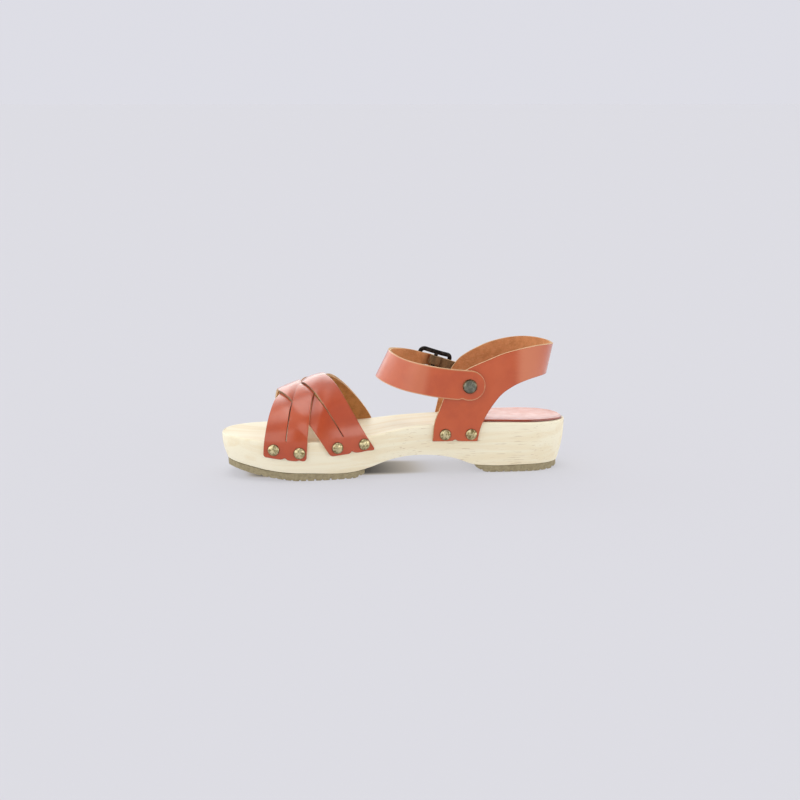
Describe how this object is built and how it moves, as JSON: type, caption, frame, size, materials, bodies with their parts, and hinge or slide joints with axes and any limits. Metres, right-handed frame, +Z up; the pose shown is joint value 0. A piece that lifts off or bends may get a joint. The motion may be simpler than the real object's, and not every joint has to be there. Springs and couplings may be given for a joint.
{
  "type": "wooden-soled sandal",
  "caption": "Right-foot clog sandal: wooden sole on ribbed rubber, woven leather vamp, heel strap and buckled ankle strap.",
  "frame": {"origin": "on the floor, under the middle of the sandal's bounding box", "axes": "the toe points to -X and the heel to +X, the inner side of the foot faces -Y, +Z is up"},
  "size_m": [0.251, 0.099, 0.0926],
  "materials": {
    "leather_terracotta": "smooth grain, half gloss",
    "leather_pad": "smooth grain, half gloss",
    "wood_pale": "sanded, matt lacquer",
    "rubber_beige": "matt, moulded ribs",
    "brass_antique": "mottled antique",
    "nickel_dark": "dark antique plating",
    "gunmetal": "dark plating"
  },
  "bodies": {
    "root": {"sole_wood": "wood_pale", "outsole_forefoot": "rubber_beige", "outsole_heel": "rubber_beige", "heel_pad": "leather_pad", "upper_vamp": "leather_terracotta", "upper_quarter": "leather_terracotta", "ankle_strap": "leather_terracotta", "buckle_tab": "leather_terracotta", "buckle_frame": "gunmetal", "buckle_prong": "gunmetal", "rivet_inner": "nickel_dark", "rivet_outer": "nickel_dark", "nail_inner_toe_front": "brass_antique", "nail_inner_toe_rear": "brass_antique", "nail_inner_ball_front": "brass_antique", "nail_inner_ball_rear": "brass_antique", "nail_inner_heel_front": "brass_antique", "nail_inner_heel_rear": "brass_antique", "nail_outer_toe_front": "brass_antique", "nail_outer_toe_rear": "brass_antique", "nail_outer_ball_front": "brass_antique", "nail_outer_ball_rear": "brass_antique", "nail_outer_heel_front": "brass_antique", "nail_outer_heel_rear": "brass_antique"}
  },
  "joints": []
}
